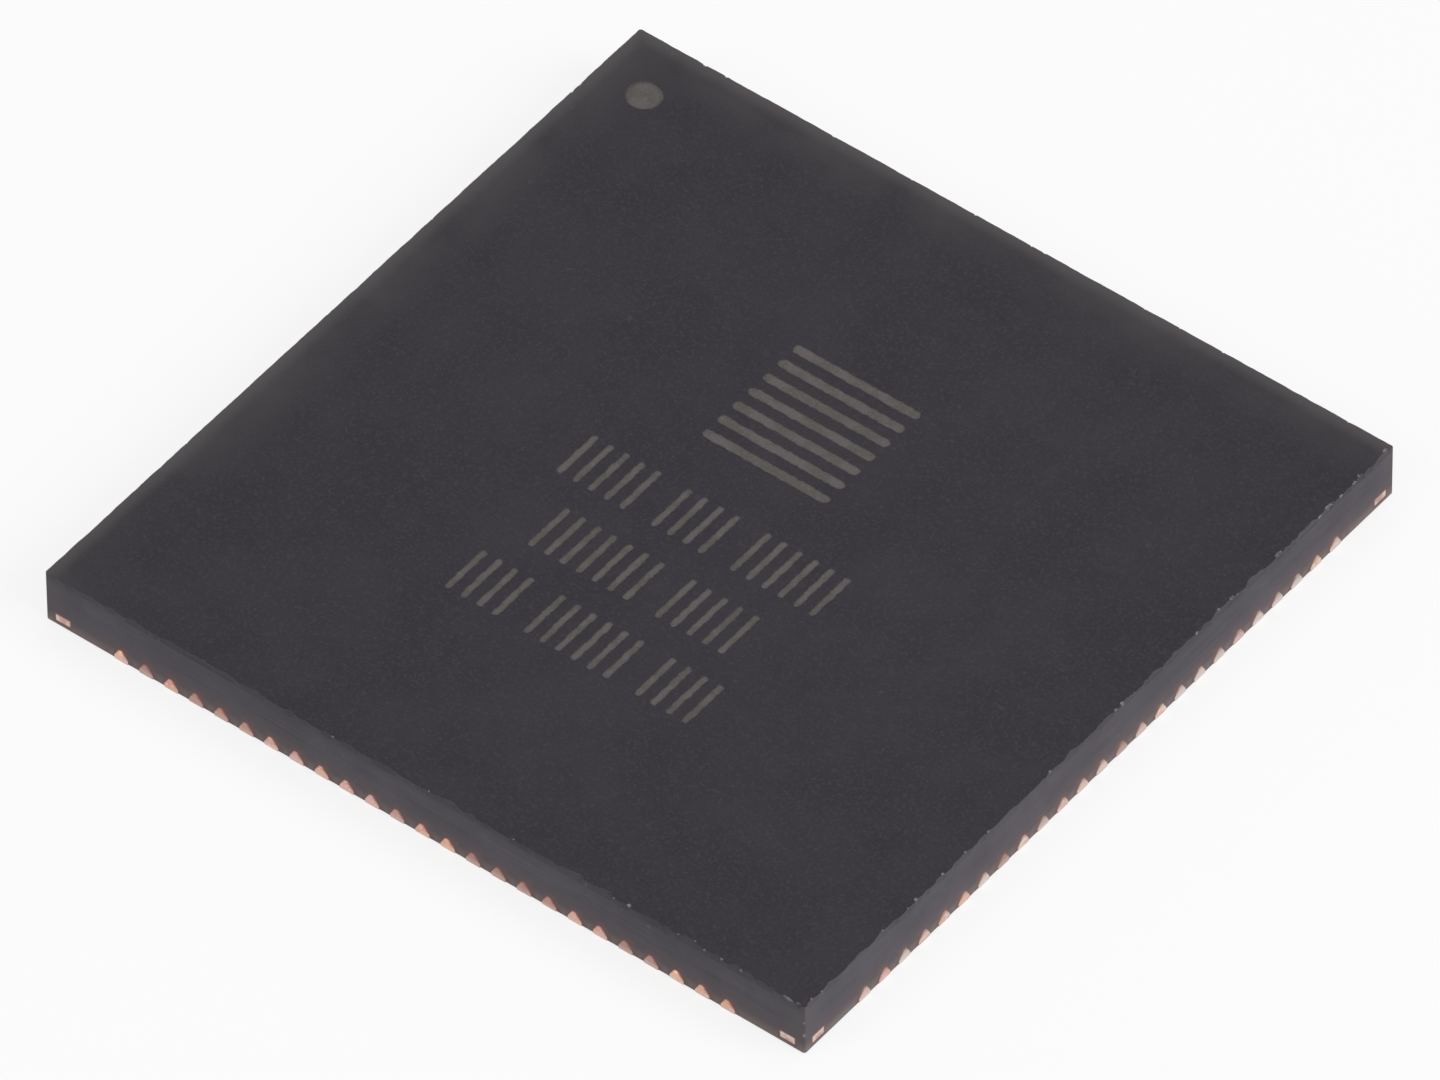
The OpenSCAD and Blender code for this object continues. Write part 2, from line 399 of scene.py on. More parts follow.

# %% [markdown]
# ## Where the leads are cut
# Soft copper smears as the saw passes, so each cut end has a redder rim, which the finishes also darken as a
# painted shadow, and the compound round it takes a trace of copper, mostly on the side that the blade moved
# to.
# No two ends look alike. This group finds, for any point on a side, which lead is nearest, two random values
# for that lead, and how deep the point lies inside its bell-shaped end, or inside the flat end of a corner
# tie bar. Outside both, the depth is below zero. It also tells what lies in the saw cut, within a hair of
# the block's sides.

# %% Lead row effect
# Straight flanks that narrow to CREST_HALF at the top come close to the round crest.
CUT_SKIN = 0.0005
ROW_REACH = PITCH * LEADS_PER_SIDE / 2
CREST_HALF = 0.3 * CREST_D
TIE_END_W = 0.24
TIE_END_T = 0.12
TIE_END_INSET = 0.27
# The rim of a tie bar's end is this many times narrower than a lead's.
TIE_RIM = 2.0

row, wire, given, out = effect_group(
    "lead_row", {"Position": VECTOR, "Drag": VALUE},
    {"Lot": VALUE, "Shine": VALUE, "Depth": VALUE, "Up": VALUE, "Second Cut": VALUE, "Cut Face": VALUE})
x, y, z = wire.split(given["Position"])
far_x = wire.math("ABSOLUTE", x)
far_y = wire.math("ABSOLUTE", y)
second_cut = wire.math("GREATER_THAN", far_x, far_y)
cut_face = wire.math("GREATER_THAN", wire.math("MAXIMUM", far_x, far_y), HALF - CUT_SKIN)
counted = wire.math("DIVIDE", wire.math("ADD", x, y), PITCH)
nearest = wire.math("ROUND", counted)
lottery = wire.node("ShaderNodeTexWhiteNoise", {"Vector": wire.join(nearest, second_cut, 0.0)})
lots = wire.split(lottery.outputs["Color"])
travel = wire.math("MULTIPLY_ADD", second_cut, -2.0, 1.0)
offset = wire.math("MULTIPLY", wire.math("SUBTRACT", counted, nearest), PITCH)
dragged = wire.math("SUBTRACT", offset, wire.math("MULTIPLY", travel, given["Drag"]))
taper = {"Value": z, "From Min": LAND_EDGE, "From Max": FRAME_T, "To Min": LAND_W / 2, "To Max": CREST_HALF}
half_w = wire.node("ShaderNodeMapRange", taper).outputs[0]
from_flank = wire.math("SUBTRACT", half_w, wire.math("ABSOLUTE", dragged))
from_crest = wire.math("SUBTRACT", FRAME_T, z)
from_middle = wire.math("MINIMUM", far_x, far_y)
from_row_end = wire.math("SUBTRACT", ROW_REACH, from_middle)
in_lead = wire.math("MINIMUM", wire.math("MINIMUM", from_flank, from_crest), from_row_end)
tie_aside = wire.math("ABSOLUTE", wire.math("SUBTRACT", from_middle, HALF - TIE_END_INSET))
tie_above = wire.math("ABSOLUTE", wire.math("SUBTRACT", z, FRAME_T - TIE_END_T / 2))
in_tie = wire.math("MINIMUM", wire.math("SUBTRACT", TIE_END_W / 2, tie_aside),
                   wire.math("SUBTRACT", TIE_END_T / 2, tie_above))
wire.put(out["Lot"], lots[0])
wire.put(out["Shine"], lots[1])
wire.put(out["Depth"], wire.math("MAXIMUM", in_lead, wire.math("MULTIPLY", in_tie, TIE_RIM)))
wire.put(out["Up"], wire.math("DIVIDE", z, FRAME_T))
wire.put(out["Second Cut"], second_cut)
wire.put(out["Cut Face"], cut_face)
print("effect", row.name)

# %% [markdown]
# ## The moulded skin
# The block has five surfaces, and each gets its own material. The first is the top, a matt skin that took
# the fine grain of the mould. Towards its back and left edges a painted glow makes it paler, and right at
# them a painted highlight lightens the rim. A plain dark grey would look like a flat sticker, so thin layers
# of tone lie over each other, each with a mask of its own.

# %% Moulded skin
# The paler band towards the back and left edges is a painted glow, and the lighter rim right at them a
# painted highlight.
EDGE_GLOW_W = 0.95
RIM_HIGHLIGHT_W = 0.26
SKIN_TONES = tone(39, 35, 42), tone(46, 42, 48)
SKIN_GRAIN = tone(62, 58, 65)
PAINTED_EDGE_GLOW = tone(65, 61, 65)
PAINTED_RIM_HIGHLIGHT = tone(90, 86, 87)
SKIN_SILICA = tone(120, 116, 118)


def moulded_skin():
    material, wire, shader = finish("moulded_skin", Specular_IOR_Level=0.25)
    place = wire.place()
    marks = wire.effect(compound, Position=place, Grain_Scale=24.0, Speck_Cells=4.5, Speck_Share=0.05)
    x, y, _ = wire.split(place)
    from_edge = wire.math("MINIMUM", wire.math("ADD", x, HALF), wire.math("SUBTRACT", HALF, y))
    skin = wire.mix(marks["Mottle"], *SKIN_TONES)
    grained = wire.mix(wire.ease(marks["Grain"], 0.42, 0.75), skin, SKIN_GRAIN)
    patches = wire.ease(wire.noise(place, 0.7, detail=4), 0.35, 0.65, 0.25, 1.0)
    # Painted glow towards the back and left edges, then a painted highlight right at the rim.
    edge_glow = wire.cover(grained, PAINTED_EDGE_GLOW, wire.ease(from_edge, EDGE_GLOW_W, 0.0), patches)
    lightened_edges = wire.mix(wire.ease(from_edge, RIM_HIGHLIGHT_W, 0.0, 0.0, 0.6), edge_glow, PAINTED_RIM_HIGHLIGHT)
    wire.put(shader["Base Color"], wire.cover(lightened_edges, SKIN_SILICA, marks["Specks"], 0.22))
    wire.put(shader["Roughness"], wire.spread(marks["Grain"], 0.62, 0.8))
    wire.put(shader["Normal"], wire.bump(marks["Grain"], 4.0))
    return material


SKIN_FINISH = moulded_skin()
print("finish", SKIN_FINISH.name)

# %% [markdown]
# ## Sawn sides
# The blade leaves the sides paler than the skin, with level scores and cut silica grains. The front and back
# were cut first, and darken towards the top with painted shade. Painted light from the floor makes every
# side paler towards the foot, warmer near the leads partly from copper, and copper is smeared round every
# lead.
# From afar one grey would do, but the smears and the paler foot are what tells a sawn side from a plain one,
# so the saw and the lead row effects both come in here.

# %% Sawn side
# The front and back darken towards the top with painted shade, and every side grows paler towards the foot
# with painted light from the floor, its warmer tint partly copper.
TOP_SHADE_FROM = 0.6
BOUNCE_FROM = 0.5
FOOT_LIGHT_FROM = 0.23
SMEAR_W = 0.11
SMEAR_DRAG = 0.03
CORNER_RUB_W = 0.4
SAWN_TONES = tone(54, 50, 57), tone(69, 65, 73)
PALE_SCORE = tone(84, 79, 87)
RUBBED_CORNER = tone(82, 76, 76)
PAINTED_TOP_SHADE = tone(46, 43, 48)
PAINTED_BOUNCE_AND_COPPER = tone(81, 72, 76)
PAINTED_FOOT_LIGHT = tone(118, 105, 102)
SAWN_SILICA = tone(128, 124, 126)
COPPER_SMEAR = tone(102, 75, 72)


def sawn_side():
    material, wire, shader = finish("sawn_side", Specular_IOR_Level=0.3)
    place = wire.place()
    marks = wire.effect(compound, Position=place, Grain_Scale=34.0, Speck_Cells=5.0, Speck_Share=0.25)
    scores = wire.effect(saw, Position=place)["Scores"]
    lead = wire.effect(row, Position=place, Drag=SMEAR_DRAG)
    x, y, z = wire.split(place)
    base = wire.mix(marks["Mottle"], *SAWN_TONES)
    scored = wire.mix(wire.ease(scores, 0.4, 0.75), base, PALE_SCORE)
    from_middle = wire.math("MINIMUM", wire.math("ABSOLUTE", x), wire.math("ABSOLUTE", y))
    from_corner = wire.math("SUBTRACT", HALF, from_middle)
    lightened_edges = wire.mix(wire.ease(from_corner, CORNER_RUB_W, 0.0, 0.0, 0.5), scored, RUBBED_CORNER)
    first_cut = wire.math("SUBTRACT", 1.0, lead["Second Cut"])
    # Painted shade towards the top of the front and back, then painted floor light towards the foot.
    shaded = wire.cover(lightened_edges, PAINTED_TOP_SHADE, wire.ease(z, TOP_SHADE_FROM, TOP, 0.0, 0.45), first_cut)
    bounce_lit = wire.mix(wire.ease(z, BOUNCE_FROM, FRAME_T, 0.0, 0.8), shaded, PAINTED_BOUNCE_AND_COPPER)
    foot_lit = wire.mix(wire.ease(z, FOOT_LIGHT_FROM, FOOT, 0.0, 0.9), bounce_lit, PAINTED_FOOT_LIGHT)
    speckled = wire.cover(foot_lit, SAWN_SILICA, marks["Specks"], 0.4)
    near_lead = wire.ease(lead["Depth"], -SMEAR_W, 0.0)
    smeared = wire.cover(speckled, COPPER_SMEAR, near_lead, wire.spread(scores, 0.6, 0.95))
    wire.put(shader["Base Color"], smeared)
    wire.put(shader["Roughness"], wire.spread(scores, 0.5, 0.68))
    height = wire.math("MULTIPLY_ADD", marks["Grain"], 0.5, scores)
    wire.put(shader["Normal"], wire.bump(height, 2.5))
    return material


SAWN_FINISH = sawn_side()
print("finish", SAWN_FINISH.name)

# %% [markdown]
# ## The tape side
# The lead frame lies on a smooth tape while it is moulded, so the compound underneath comes out sleeker than
# the top. The skin's material could be used again, but it has wear that belongs to the top alone, so this
# one takes only the compound effect, with a coarser grain and less roughness.

# %% Tape side
TAPE_TONES = tone(42, 40, 43), tone(52, 50, 53)
TAPE_SILICA = tone(120, 118, 118)


def tape_side():
    material, wire, shader = finish("tape_side", Specular_IOR_Level=0.4)
    marks = wire.effect(compound, Position=wire.place(), Grain_Scale=16.0, Speck_Cells=5.0, Speck_Share=0.1)
    skin = wire.mix(marks["Mottle"], *TAPE_TONES)
    wire.put(shader["Base Color"], wire.cover(skin, TAPE_SILICA, marks["Specks"], 0.3))
    wire.put(shader["Roughness"], wire.spread(marks["Grain"], 0.38, 0.52))
    wire.put(shader["Normal"], wire.bump(marks["Grain"], 2.0))
    return material


TAPE_FINISH = tape_side()
print("finish", TAPE_FINISH.name)

# %% [markdown]
# ## The laser's burn
# The laser burns the black out of the skin and leaves a rough, brown-grey floor with a few dark pits. A
# colour alone would look printed on, so the roughness and a bump follow the same grain. The index mark in
# the corner has this finish too.

# %% Laser mark
BURNT_TONES = tone(88, 84, 82), tone(98, 93, 92)
BURNT_GRAIN = tone(121, 117, 114)
BURNT_PIT = tone(56, 52, 52)


def laser_mark():
    material, wire, shader = finish("laser_mark", Specular_IOR_Level=0.2)
    place = wire.place()
    marks = wire.effect(compound, Position=place, Grain_Scale=30.0, Speck_Cells=9.0, Speck_Share=0.3)
    patches = wire.noise(place, 4.0, detail=3)
    burnt = wire.mix(wire.ease(patches, 0.4, 0.6), *BURNT_TONES)
    grained = wire.mix(wire.ease(marks["Grain"], 0.45, 0.8, 0.0, 0.7), burnt, BURNT_GRAIN)
    wire.put(shader["Base Color"], wire.cover(grained, BURNT_PIT, marks["Specks"], 0.6))
    wire.put(shader["Roughness"], wire.spread(marks["Grain"], 0.75, 0.95))
    wire.put(shader["Normal"], wire.bump(marks["Grain"], 5.0))
    return material


LASER_FINISH = laser_mark()
print("finish", LASER_FINISH.name)

# %% [markdown]
# ## Fresh breaks
# Where a crumb broke out of the edge, the inside of the compound shows: pale, a little glossy, and full of
# bright silica grains, painted brighter still as glints. It could share the sawn finish, but a break has no
# scores. With this one, all five are ready, and a face picks its finish by its place in the list.

# %% Fracture
BROKEN_TONES = tone(90, 86, 89), tone(132, 128, 130)
SILICA_AND_GLINT = tone(196, 190, 188)


def fracture():
    material, wire, shader = finish("fracture", Specular_IOR_Level=0.5)
    place = wire.place()
    marks = wire.effect(compound, Position=place, Grain_Scale=40.0, Speck_Cells=18.0, Speck_Share=0.3)
    broken = wire.mix(wire.spread(marks["Grain"], 0.0, 1.0), *BROKEN_TONES)
    # Silica grains, brightened into painted glints.
    wire.put(shader["Base Color"], wire.cover(broken, SILICA_AND_GLINT, marks["Specks"], 0.8))
    wire.put(shader["Roughness"], wire.spread(marks["Grain"], 0.4, 0.6))
    wire.put(shader["Normal"], wire.bump(marks["Grain"], 3.0))
    return material


MOULD_FINISHES = [SKIN_FINISH, SAWN_FINISH, TAPE_FINISH, LASER_FINISH, fracture()]
SKIN, SAWN, TAPE, LASER, BROKEN = range(len(MOULD_FINISHES))
print("block finishes", [material.name for material in MOULD_FINISHES])

# %% [markdown]
# ## The block, copied and given its surfaces
# The CAD block is right in every size, but its edges are perfectly sharp and straight. We copy its mesh,
# merge the loose triangles and dissolve the flat ones into whole faces. Each face is told which surface it
# belongs to, while that is still easy to see from its place.

# %% Copy the block
# Points nearer than MERGE are one point, faces that bend by less than FLAT are one face, and what is nearer
# than NEAR to a plane lies on it. The index mark is no deeper than INDEX_REACH.
MERGE = 1e-5
FLAT = math.radians(0.1)
NEAR = 1e-3
FACING_DOWN = -0.9
INDEX_REACH = 0.1


def bench_copy(node):
    """A merged copy of a CAD node's mesh, in millimetres, with its flat faces made whole."""
    bm = bmesh.new()
    bm.from_mesh(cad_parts[node].data)
    bmesh.ops.scale(bm, vec=(1 / MM, 1 / MM, 1 / MM), verts=bm.verts)
    bmesh.ops.remove_doubles(bm, verts=bm.verts, dist=MERGE)
    bmesh.ops.dissolve_limit(bm, angle_limit=FLAT, verts=bm.verts, edges=bm.edges)
    return bm


def surface_of(face):
    """Which of the block's surfaces a face belongs to."""
    centre = face.calc_center_median()
    if max(abs(centre.x), abs(centre.y)) > HALF - NEAR:
        return SAWN
    if face.normal.z < FACING_DOWN and centre.z < FOOT + NEAR:
        return TAPE
    if centre.z > TOP - INDEX_REACH and abs(centre.z - TOP) > NEAR:
        return LASER
    return SKIN


block = bench_copy("mould_body")
for face in block.faces:
    face.material_index = surface_of(face)
print("block", len(block.faces), "faces")

# %% [markdown]
# ## Edges
# The upright edges are rounded, as handling wears them. Along the top edges the compound breaks away in
# small shells, which leaves shallow bites with a cusp between each two. The size of a smooth random curve
# has just that form, so a narrow band below each top edge is split into short steps, and each step is
# pushed inwards by that much. The front and right edges are the rougher ones, each more so towards its far
# end. A very fine bevel then takes off the sharpness, and whatever it pushed outwards at a cusp is put back
# onto the side.

# %% Round and wave the edges
CORNER_ROUND = 0.03
EDGE_ROUND = 0.006
SHARP = math.radians(30)
BAND_H = 0.07
WAVE_STEP = 0.03
WAVE_LENGTH = 0.36
# Where the curves lie in the noise, one row for each side, and its smoothness, lacunarity and octaves.
WAVE_ROW = 7.3
WAVE_LEVEL = 0.5
WAVE_DETAIL = (1.0, 2.0, 4)
# How far the bites reach inwards at the start and the end of each side, from the front one round.
WAVE_REACH = ((0.06, 0.105), (0.045, 0.095), (0.012, 0.012), (0.012, 0.012))


def round_edges(bm, edges, offset, segments):
    """Bevels edges and keeps the finish of the faces beside them."""
    bmesh.ops.bevel(bm, geom=edges, offset=offset, offset_type="OFFSET", segments=segments, profile=0.5,
                    affect="EDGES", material=-1)


def side_turn(side):
    """The turn from the front side to another, counted in quarter turns."""
    return Matrix.Rotation(side * math.pi / 2, 4, "Z")


def edge_seat(side):
    """Where a top edge of the block lies, with X along it and Y inwards."""
    return side_turn(side) @ Matrix.Translation((0, -HALF, TOP))


def bite(side, along):
    """How far a top edge lies inwards at a place along it."""
    start, end = WAVE_REACH[side]
    reach = start + (end - start) * (along / HALF + 1) / 2
    place = Vector((along / WAVE_LENGTH, WAVE_ROW * side, WAVE_LEVEL))
    return reach * abs(noise.fractal(place, *WAVE_DETAIL))


def wavy_edges(bm):
    """Splits the band below the top edges into steps and pushes their upper ends inwards."""
    everything = bm.verts[:] + bm.edges[:] + bm.faces[:]
    bmesh.ops.bisect_plane(bm, geom=everything, plane_co=(0, 0, TOP - BAND_H), plane_no=(0, 0, 1))
    bands = [face for face in bm.faces if face.material_index == SAWN and face.calc_area() > BAND_H * HALF
             and face.calc_center_median().z > TOP - BAND_H]
    levels = {edge for face in bands for edge in face.edges if edge.calc_length() > HALF}
    bmesh.ops.subdivide_edges(bm, edges=list(levels), cuts=round(2 * HALF / WAVE_STEP))
    for side in range(4):
        seat = edge_seat(side)
        for vert in bm.verts:
            local = seat.inverted() @ vert.co
            if abs(local.y) < NEAR and abs(local.z) < NEAR and abs(local.x) < HALF - 2 * CORNER_ROUND:
                local.y = bite(side, local.x)
                vert.co = seat @ local
    bm.normal_update()
    return len(bands)


def upright_corner(edge):
    """Whether an edge is one of the block's four upright ones."""
    first, last = (vert.co for vert in edge.verts)
    return (first - last).xy.length < NEAR and min(abs(first.x), abs(first.y)) > HALF - NEAR


def top_outline(edge):
    """Whether an edge lies on the outline of the top."""
    return all(vert.co.z > TOP - NEAR and max(abs(vert.co.x), abs(vert.co.y)) > HALF - 2 * BAND_H
               for vert in edge.verts) and edge.calc_face_angle() > SHARP


round_edges(block, [edge for edge in block.edges if upright_corner(edge)], CORNER_ROUND, segments=4)
bands = wavy_edges(block)
outline = [edge for edge in block.edges if top_outline(edge)]
round_edges(block, outline, EDGE_ROUND, segments=2)
for vert in block.verts:
    vert.co.xy = [min(max(value, -HALF), HALF) for value in vert.co.xy]
print("block", len(block.faces), "faces,", bands, "bands split,", len(outline), "edges round the top")

# %% [markdown]
# ## Laser marks
# The laser writes with a round spot that burns unevenly, so each stroke is a narrow groove with round ends
# and a ragged outline, about a hundredth of a millimetre deep. A bump could fake them, but real grooves
# catch the light at their rims from any side. The marks here are plain strokes: a striped square above
# three rows of short upright ones.

# %% Grooves of the laser
GROOVE_DEPTH = 0.012
CLEARANCE = 0.05
ROUND_ENDS = 10
RAGGED = 0.009
RAGGED_STEP = 0.05
SEED = 41
FIELD_W = 2.0
FIELD_MIDDLE = Vector((0.0, 1.85))
FIELD_STROKE = 0.16
FIELD_STROKES = 7
ROW_STROKE = 0.1
ROW_PITCH = 0.25
ROW_HEIGHT = 0.8
# Each row of short strokes: its height on the face, and how many strokes each of its groups has.
ROWS = [(-0.35, (5, 4, 6)), (-1.55, (7, 5)), (-2.75, (4, 6, 4))]
rng = random.Random(SEED)


def groove(bm, start, end, width):
    """A bar with round ends and a ragged outline that reaches from just below the top face to above it."""
    run = Vector(end) - Vector(start)
    rim = bmesh.ops.create_circle(bm, cap_ends=True, segments=ROUND_ENDS, radius=width / 2)["verts"]
    bmesh.ops.rotate(bm, matrix=Matrix.Rotation(math.pi / ROUND_ENDS, 3, "Z"), verts=rim)
    for vert in rim:
        vert.co.x += math.copysign(run.length / 2, vert.co.x)
    base = rim[0].link_faces[0]
    flanks = [edge for edge in base.edges if edge.calc_length() > run.length / 2]
    bmesh.ops.bisect_edges(bm, edges=flanks, cuts=round(run.length / RAGGED_STEP))
    for vert in base.verts:
        vert.co += Vector((rng.uniform(-RAGGED, RAGGED), rng.uniform(-RAGGED, RAGGED), 0))
    outline = list(base.verts)
    raised = bmesh.ops.extrude_face_region(bm, geom=[base])["geom"]
    lid = [item for item in raised if isinstance(item, bmesh.types.BMVert)]
    bmesh.ops.translate(bm, vec=(0, 0, GROOVE_DEPTH + CLEARANCE), verts=lid)
    middle = (Vector(start) + Vector(end)) / 2
    angle = math.atan2(run.y, run.x)
    seat = Matrix.Translation((middle.x, middle.y, TOP - GROOVE_DEPTH)) @ Matrix.Rotation(angle, 4, "Z")
    bmesh.ops.transform(bm, matrix=seat, verts=outline + lid)


def striped_field(bm):
    """Level strokes, one above the other, that fill a square."""
    reach = (FIELD_W - FIELD_STROKE) / 2
    for index in range(FIELD_STROKES):
        row_middle = FIELD_MIDDLE + Vector((0, reach * (2 * index / (FIELD_STROKES - 1) - 1)))
        groove(bm, row_middle - Vector((reach, 0)), row_middle + Vector((reach, 0)), FIELD_STROKE)


def stroke_rows(bm):
    """Rows of short upright strokes in groups, each row centred."""
    upright = Vector((0, (ROW_HEIGHT - ROW_STROKE) / 2))
    for height, groups in ROWS:
        spaces = sum(groups) + len(groups) - 2
        at = -spaces * ROW_PITCH / 2
        for count in groups:
            for _ in range(count):
                middle = Vector((at, height))
                groove(bm, middle - upright, middle + upright, ROW_STROKE)
                at += ROW_PITCH
            at += ROW_PITCH


grooves = bmesh.new()
striped_field(grooves)
stroke_rows(grooves)
bmesh.ops.recalc_face_normals(grooves, faces=grooves.faces)
for face in grooves.faces:
    face.material_index = LASER
print("laser grooves", len(grooves.faces), "faces")

# %% [markdown]
# ## Nicks along the saw cut
# Here and there the saw also pulled a crumb out of the edge and left a rough, paler nick. The waves above
# were a matter of moving points, but a nick has its own surface and its own finish, so we make each as a
# small dented ball on the edge and cut them all out together. The edges beside the front and right corners
# lost the most.

# %% Scoops of the nicks
# Each kind of nick: the least and the greatest length, the least and the greatest reach inwards and down,
# as shares of the length, and how far dents reach into its ball.
CRUMB = ((0.04, 0.10), (0.35, 0.60), (0.25, 0.50), 0.45)
FLAKE = ((0.10, 0.30), (0.14, 0.24), (0.22, 0.38), 0.50)
SLIVER = ((0.20, 0.28), (0.10, 0.16), (0.10, 0.16), 0.40)
# Each stretch of edge: quarter turns from the front side, where it starts and ends along that side, the
# mean distance between nicks, and their kind.
NICKED_STRETCHES = [
    (0, -5.5, 2.3, 1.80, CRUMB),
    (0, 2.3, 5.5, 0.40, CRUMB),
    (0, 5.6, 5.94, 0.02, SLIVER),
    (1, -5.9, -5.2, 0.30, CRUMB),
    (1, -5.2, 3.4, 0.45, CRUMB),
    (1, 3.4, 5.3, 0.20, FLAKE),
    (1, 5.3, 5.8, 0.25, CRUMB),
    (1, 5.82, 5.97, 0.01, FLAKE),
    (2, -5.8, 5.8, 1.40, CRUMB),
    (3, -5.8, 5.8, 1.40, CRUMB),
]
CORNER_GAP = 0.25
NICK_SPACE = 0.01
# The greatest turn of a ball about each axis, in radians, and how many faces it has.
WOBBLE = (0.5, 0.1, 0.1)
BALL_FACES = 80


def scoop(bm, seat, length, inward, down, dents):
    """A dented ball, stretched along its edge."""
    ball = bmesh.ops.create_icosphere(bm, subdivisions=2, radius=1)["verts"]
    for vert in ball:
        vert.co *= rng.uniform(1 - dents, 1)
    wobble = Euler([rng.uniform(-most, most) for most in WOBBLE]).to_matrix()
    sized = Matrix.Diagonal((length / 2, inward, down)).to_4x4()
    bmesh.ops.transform(bm, matrix=seat @ wobble.to_4x4() @ sized, verts=ball)


def places(start, end, gap, shortest, longest):
    """Where nicks start and how long they are, at uneven distances and of uneven length."""
    at = start + rng.expovariate(1 / gap)
    while at < end:
        length = min(shortest + (longest - shortest) * rng.random() ** 2, end - at)
        yield at, length
        at += length + NICK_SPACE + rng.expovariate(1 / gap)


def nick(bm, seat, length, kind):
    """One nick of a kind, at its seat."""
    _, bites, drops, dents = kind
    scoop(bm, seat, length, length * rng.uniform(*bites), length * rng.uniform(*drops), dents)


def corner_seat(side):
    """Where an upright edge of the block lies, with X up along it."""
    upright = Matrix.Rotation(-math.pi / 2, 4, "Y")
    return side_turn(side) @ Matrix.Translation((HALF, -HALF, 0)) @ upright


nicks = bmesh.new()
for side, start, end, gap, kind in NICKED_STRETCHES:
    for at, length in places(start, end, gap, *kind[0]):
        middle = at + length / 2
        seat = edge_seat(side) @ Matrix.Translation((middle, bite(side, middle), 0))
        nick(nicks, seat, length, kind)
for at, length in places(FRAME_T, TOP - CORNER_GAP, CORNER_GAP, *CRUMB[0]):
    nick(nicks, corner_seat(0) @ Matrix.Translation((at + length / 2, 0, 0)), length, CRUMB)
for face in nicks.faces:
    face.material_index = BROKEN
print("nicks", len(nicks.faces) // BALL_FACES)

# %% [markdown]
# ## Cutting the block
# A Boolean modifier cuts one closed mesh out of another. It could stay live, but the finished block should
# be one plain mesh, so we let Blender work the result out, take it, and drop the tools. The cut leaves a few
# edges of almost no length, and points along a rim that only two edges share. Once the mesh is split into
# triangles, these could make stray ones, so they are dissolved.

# %% Cut with grooves and nicks
SPLINTER = 1e-4


def clean_cut(bm):
    """Dissolves edges of almost no length and points that only two edges share."""
    bmesh.ops.dissolve_degenerate(bm, dist=SPLINTER, edges=bm.edges)
    bmesh.ops.dissolve_verts(bm, verts=[vert for vert in bm.verts if len(vert.link_edges) == 2])


def cut(target, *tools):
    """The target less each tool, as a new bench mesh. All the objects are used up."""
    for tool in tools:
        modifier = target.modifiers.new(tool.name, "BOOLEAN")
        modifier.operation = "DIFFERENCE"
        modifier.solver = "MANIFOLD"
        modifier.object = tool
    bpy.context.view_layer.update()
    shaped = target.evaluated_get(bpy.context.evaluated_depsgraph_get())
    bm = bmesh.new()
    bm.from_mesh(shaped.to_mesh())
    shaped.to_mesh_clear()
    clean_cut(bm)
    for used in (target, *tools):
        mesh = used.data
        bpy.data.objects.remove(used)
        bpy.data.meshes.remove(mesh)
    return bm


block = cut(bench_object(block, "block", MOULD_FINISHES),
            bench_object(grooves, "grooves", MOULD_FINISHES),
            bench_object(nicks, "nicks", MOULD_FINISHES))
counts = [sum(face.material_index == index for face in block.faces) for index in range(len(MOULD_FINISHES))]
print("cut block", len(block.faces), "faces, by finish", counts,
      "open edges", sum(not edge.is_manifold for edge in block.edges))
mould_shell = mesh_object(block, "mould_shell", MOULD_FINISHES)
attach(mould_shell, "root")
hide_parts("mould_body")

# %% [markdown]
# ## Matt tin
# The underside of the leads and the pad is plated with matt tin, so that solder wets it. Tin grows in fine
# crystals, which makes it pale, even and slightly rough, with a few scratches from the test socket. The
# leads and the pad share it, so it is a group that puts out a colour, a roughness and a height.

# %% Tin effect
TIN_GRAIN = 70.0
TIN_TONES = tone(176, 174, 170), tone(206, 204, 199)
TIN_SCRATCH = tone(226, 225, 222)
SCRATCH_TURN = 0.6
SCRATCH_STRETCH = (0.35, 26.0, 0.0)

tin, wire, given, out = effect_group(
    "matt_tin", {"Position": VECTOR},
    {"Color": "NodeSocketColor", "Roughness": VALUE, "Height": VALUE})
crystals = wire.noise(given["Position"], TIN_GRAIN, detail=3, roughness=0.7)
clouds = wire.noise(given["Position"], 0.9, detail=5, roughness=0.6)
aslant = {"Vector": given["Position"], "Angle": SCRATCH_TURN}
slant = wire.node("ShaderNodeVectorRotate", aslant, rotation_type="Z_AXIS")
thin = wire.stretch(slant.outputs[0], SCRATCH_STRETCH)
scratched = wire.ease(wire.noise(thin, 1.0, detail=2), 0.70, 0.76)
wire.put(out["Color"], wire.cover(wire.mix(clouds, *TIN_TONES), TIN_SCRATCH, scratched, 0.5))
matt = wire.spread(crystals, 0.42, 0.58)
wire.put(out["Roughness"], wire.math("MULTIPLY_ADD", scratched, -0.12, matt))
wire.put(out["Height"], wire.math("MULTIPLY_ADD", scratched, -0.8, crystals))
print("effect", tin.name)

# %% [markdown]
# ## Copper leads
# A lead is bare copper where the saw cut it and tinned below. One material shows both: what lies in the saw
# cut is copper, and the rest is tin. Each cut end takes its own tint from the lead row effect, with a
# darker, redder rim that is dragged copper and a painted shadow, and a paler foot where tin was. On the
# right and left, the ends of the second cut are paler all over with painted glare, and their crests are
# darker with painted shade. Some ends also carry painted highlights.

# %% Lead finish
RIM_W = 0.042
RIM_DRAG = 0.015
TINTS = [tone(228, 212, 190), tone(216, 178, 172), tone(212, 162, 166), tone(222, 174, 154),
         tone(228, 176, 134), tone(208, 148, 138), tone(220, 194, 188)]
DULL_COPPER = tone(160, 118, 108)
